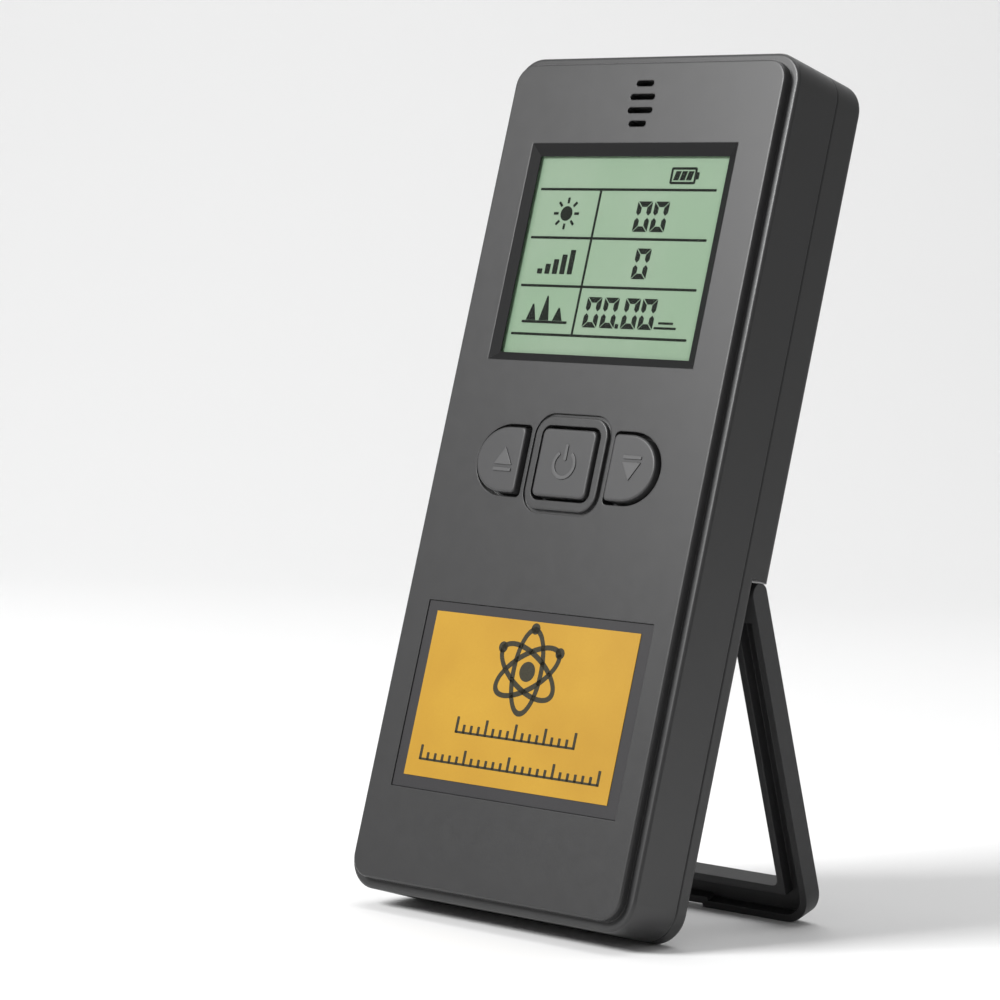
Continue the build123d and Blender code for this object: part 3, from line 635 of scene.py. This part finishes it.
def bezel_loop(drawn, inset, drop, height):
    """The four corners of a rectangle inside the sloping border."""
    half_x, half_y = BEVEL_WIDTH / 2 - inset, BEVEL_HEIGHT / 2 - inset
    middle = lens_middle.y - drop
    corners = ((-half_x, -half_y), (half_x, -half_y), (half_x, half_y), (-half_x, half_y))
    return [drawn.verts.new((x, middle + y, height)) for x, y in corners]


def draw_bezel(drawn):
    """Four mitred slopes from the panel down to the window, with their undersides."""
    loops = []
    for top in (BEZEL_LIFT, BEZEL_LIFT - BEZEL_THICKNESS):
        loops.append(bezel_loop(drawn, BEZEL_OUTER_GAP, 0.0, top))
        loops.append(bezel_loop(drawn, BEVEL_INSET + BEZEL_INNER_GAP, BEVEL_DROP, top - BEVEL_DEPTH))
    outer, inner, outer_low, inner_low = loops
    for i in range(4):
        j = (i + 1) % 4
        drawn.faces.new((outer[i], outer[j], inner[j], inner[i]))
        drawn.faces.new((outer_low[j], outer_low[i], inner_low[i], inner_low[j]))
        drawn.faces.new((outer_low[i], outer_low[j], outer[j], outer[i]))
        drawn.faces.new((inner_low[j], inner_low[i], inner[i], inner[j]))


BEZEL_COLOR = (0.009, 0.009, 0.0094)
bezel = bmesh.new()
draw_bezel(bezel)
bezel_plastic = moulded("bezel_plastic", BEZEL_COLOR, rough=0.5, edge=0.12, wear=5.0, shine=0.14)
add_piece("display_bezel", bezel, bezel_plastic, "case")

# ---------------------------------------------------------------- label print
LABEL_INK_SINK, LABEL_INK_RISE = 0.03, 0.02
EMBLEM_X, EMBLEM_Y = 0.5, -29.9
NUCLEUS_RADIUS, ELECTRON_RADIUS = 1.5, 0.85
ORBIT_RADIUS, ORBIT_LINE = 6.7, 0.85
ORBIT_SQUASH, ORBIT_INNER_SQUASH = 0.46, 0.385
ELECTRON_REACH = 0.96
SCALE_LINE, SCALE_MARK, MINOR_SHARE = 0.34, 0.5, 0.55


def draw_emblem(relief):
    """An atom: a nucleus with three crossing orbits, an electron on each."""
    relief.plate(circle(EMBLEM_X, EMBLEM_Y, NUCLEUS_RADIUS))
    for orbit in range(3):
        turn = math.radians(30 + 60 * orbit)
        outer = circle(EMBLEM_X, EMBLEM_Y, ORBIT_RADIUS, 64, ORBIT_SQUASH, turn)
        inner = circle(EMBLEM_X, EMBLEM_Y, ORBIT_RADIUS - ORBIT_LINE, 64, ORBIT_INNER_SQUASH, turn)
        relief.ring(outer, inner)
        reach = ORBIT_RADIUS * ELECTRON_REACH
        electron_x = EMBLEM_X + reach * math.cos(turn)
        electron_y = EMBLEM_Y + reach * math.sin(turn)
        relief.plate(circle(electron_x, electron_y, ELECTRON_RADIUS, 24))


def draw_scale(relief, x, y, width, height, marks, major):
    """A row of scale marks over a thin rule about (x, y), every major mark full height."""
    base = y - height / 2
    relief.plate(rounded(x, base + SCALE_LINE / 2, width, SCALE_LINE))
    step = (width - SCALE_MARK) / marks
    for mark in range(marks + 1):
        tall = height if mark % major == 0 else height * MINOR_SHARE
        middle = x - width / 2 + SCALE_MARK / 2 + mark * step
        relief.plate(rounded(middle, base + tall / 2, SCALE_MARK, tall))


label_top = panel_box("label_panel")[1].z
label_ink = Relief(label_top - LABEL_INK_SINK, label_top + LABEL_INK_RISE)
draw_emblem(label_ink)
draw_scale(label_ink, 0.6, -39.0, 23.6, 2.5, marks=16, major=4)
draw_scale(label_ink, 0.5, -43.8, 35.4, 2.3, marks=24, major=6)
label_ink.finish("label_print", ink("label_ink", (0.035, 0.032, 0.02), 0.4), "case")

# ---------------------------------------------------------------- finger grip on the battery door
GRIP_RIDGES, GRIP_PITCH, GRIP_LENGTH, GRIP_WIDTH = 4, 1.3, 13.0, 0.6
GRIP_FROM_EDGE, GRIP_RISE, GRIP_SINK, GRIP_SOFTENING = 2.4, 0.25, 0.2, 0.12
GRIP_CORNER = GRIP_WIDTH / 2 - 0.02
door_low = panel_box("battery_door")[0]
grip = Relief(door_low.z - GRIP_RISE, door_low.z + GRIP_SINK, GRIP_SOFTENING)
for ridge in range(GRIP_RIDGES):
    along = door_low.y + GRIP_FROM_EDGE + ridge * GRIP_PITCH
    grip.plate(rounded(0, along, GRIP_LENGTH, GRIP_WIDTH, GRIP_CORNER, 6))
grip.finish("door_grip", NODE_MATERIALS["battery_door"], "battery_door")

# ---------------------------------------------------------------- key symbols
SYMBOL_SINK, SYMBOL_RISE, SYMBOL_SOFTENING = 0.08, 0.16, 0.04
SYMBOL_LINE = 0.55
UP_X, POWER_X, DOWN_X = -11.9, 0.1, 12.9
ARROW_SHIFT, ARROW_HALF, ARROW_HEIGHT, ARROW_BAR_GAP = 0.5, 1.75, 2.7, 0.75
RING_RADIUS, RING_DROP, RING_START, RING_END = 2.0, 0.2, 125, 415
STROKE_RISE, STROKE_LENGTH = 1.6, 2.5

symbol_plastic = moulded("symbol_plastic", SYMBOL_COLOR, rough=0.4, grain=6000, edge=0.1)
power_low, power_high = panel_box("power_key")
key_row = (power_low.y + power_high.y) / 2


def key_symbol(node, name, draw, *details):
    """A raised symbol on a key's face that moves with the key."""
    top = panel_box(node)[1].z
    relief = Relief(top - SYMBOL_SINK, top + SYMBOL_RISE, SYMBOL_SOFTENING)
    draw(relief, *details)
    relief.finish(name, symbol_plastic, node)


def draw_arrow(relief, x, way):
    """A solid triangle that points up (way 1) or down (way -1) the case, over a short bar."""
    middle = key_row + way * ARROW_SHIFT
    base = middle - way * ARROW_HEIGHT / 2
    tip = middle + way * ARROW_HEIGHT / 2
    relief.plate([(x - ARROW_HALF, base), (x + ARROW_HALF, base), (x, tip)])
    relief.plate(rounded(x, base - way * ARROW_BAR_GAP, 2 * ARROW_HALF, SYMBOL_LINE, 0.15))


def draw_power(relief):
    """An open ring with an upright stroke in its gap."""
    relief.arc(POWER_X, key_row - RING_DROP, RING_RADIUS, SYMBOL_LINE, RING_START, RING_END)
    relief.plate(rounded(POWER_X, key_row + STROKE_RISE, SYMBOL_LINE, STROKE_LENGTH, 0.2, 4))


key_symbol("up_key", "up_symbol", draw_arrow, UP_X, 1)
key_symbol("down_key", "down_symbol", draw_arrow, DOWN_X, -1)
key_symbol("power_key", "power_symbol", draw_power)

# ---------------------------------------------------------------- stage, light and camera
STAGE_COLOR = (0.86, 0.86, 0.86)
FLOOR_NEAR, WALL_PLACE, SWEEP_RADIUS, WALL_HEIGHT, HALF_WIDTH = -1.6, 1.1, 0.5, 1.8, 2.4
SWEEP_STEPS = 12
LIGHT_AIM = Vector((0, 0, 0.07))
WORLD_STRENGTH = 0.32
VIEW_AZIMUTH, VIEW_ELEVATION, VIEW_ROLL = 42.283, 3.132, -2.07
VIEW_DISTANCE, VIEW_LENS, VIEW_SENSOR = 0.53145, 129.8, 36.0
VIEW_AIM = Vector((-0.00684, -0.01509, 0.06196))


def direction(azimuth, elevation):
    """Unit vector from the meter towards a place in the studio; azimuth 0 is in front of it."""
    a, e = math.radians(azimuth), math.radians(elevation)
    return Vector((math.sin(a) * math.cos(e), -math.cos(a) * math.cos(e), math.sin(e)))


def add_backdrop():
    """A pale floor that sweeps up into a wall far behind the meter, square to the camera."""
    sweep_start = WALL_PLACE - SWEEP_RADIUS
    profile = [(FLOOR_NEAR, 0.0), (sweep_start, 0.0)]
    for i in range(1, SWEEP_STEPS + 1):
        angle = math.radians(90 * i / SWEEP_STEPS)
        across = sweep_start + SWEEP_RADIUS * math.sin(angle)
        profile.append((across, SWEEP_RADIUS - SWEEP_RADIUS * math.cos(angle)))
    profile.append((WALL_PLACE, WALL_HEIGHT))
    made = bmesh.new()
    rows = [[made.verts.new((x, y, z)) for x in (-HALF_WIDTH, HALF_WIDTH)] for y, z in profile]
    for first, second in zip(rows, rows[1:]):
        face = made.faces.new((first[0], first[1], second[1], second[0]))
        face.smooth = True
    mesh = bpy.data.meshes.new("floor")
    made.to_mesh(mesh)
    made.free()
    mesh.transform(Matrix.Rotation(math.radians(VIEW_AZIMUTH), 4, "Z"))
    mesh.materials.append(Shader("floor_paint").set(Base_Color=STAGE_COLOR, Roughness=0.9))
    floor = bpy.data.objects.new("floor", mesh)
    bpy.context.collection.objects.link(floor)


def soft_light(name, azimuth, elevation, distance, size, power):
    """A rectangular light that faces the meter."""
    data = bpy.data.lights.new(name, "AREA")
    data.shape = "RECTANGLE"
    data.size, data.size_y = size
    data.energy = power
    toward = direction(azimuth, elevation)
    lamp = bpy.data.objects.new(name, data)
    lamp.location = LIGHT_AIM + toward * distance
    lamp.rotation_euler = toward.to_track_quat("Z", "Y").to_euler()
    bpy.context.collection.objects.link(lamp)


def add_world():
    world = bpy.data.worlds.new("studio")
    world.use_nodes = True
    background = world.node_tree.nodes["Background"]
    background.inputs["Color"].default_value = (1, 1, 1, 1)
    background.inputs["Strength"].default_value = WORLD_STRENGTH
    bpy.context.scene.world = world


def add_camera():
    """The camera, turned a little about its own line of sight."""
    data = bpy.data.cameras.new("camera")
    data.lens, data.sensor_width = VIEW_LENS, VIEW_SENSOR
    data.clip_start = 0.01
    back = direction(VIEW_AZIMUTH, VIEW_ELEVATION)
    level_right = Vector((0, 0, 1)).cross(back).normalized()
    level_up = back.cross(level_right)
    roll = math.radians(VIEW_ROLL)
    right = level_right * math.cos(roll) - level_up * math.sin(roll)
    up = level_right * math.sin(roll) + level_up * math.cos(roll)
    place = VIEW_AIM + back * VIEW_DISTANCE
    rows = [(right[i], up[i], back[i], place[i]) for i in range(3)]
    camera = bpy.data.objects.new("camera", data)
    camera.matrix_world = Matrix((*rows, (0, 0, 0, 1)))
    bpy.context.collection.objects.link(camera)
    bpy.context.scene.camera = camera


add_backdrop()
soft_light("key_light", -23, 34, 0.9, size=(0.3, 0.34), power=9.4)
soft_light("top_light", 200, 72, 1.1, size=(1.2, 0.9), power=6.8)
add_world()
bpy.context.scene.view_settings.view_transform = "Standard"
add_camera()
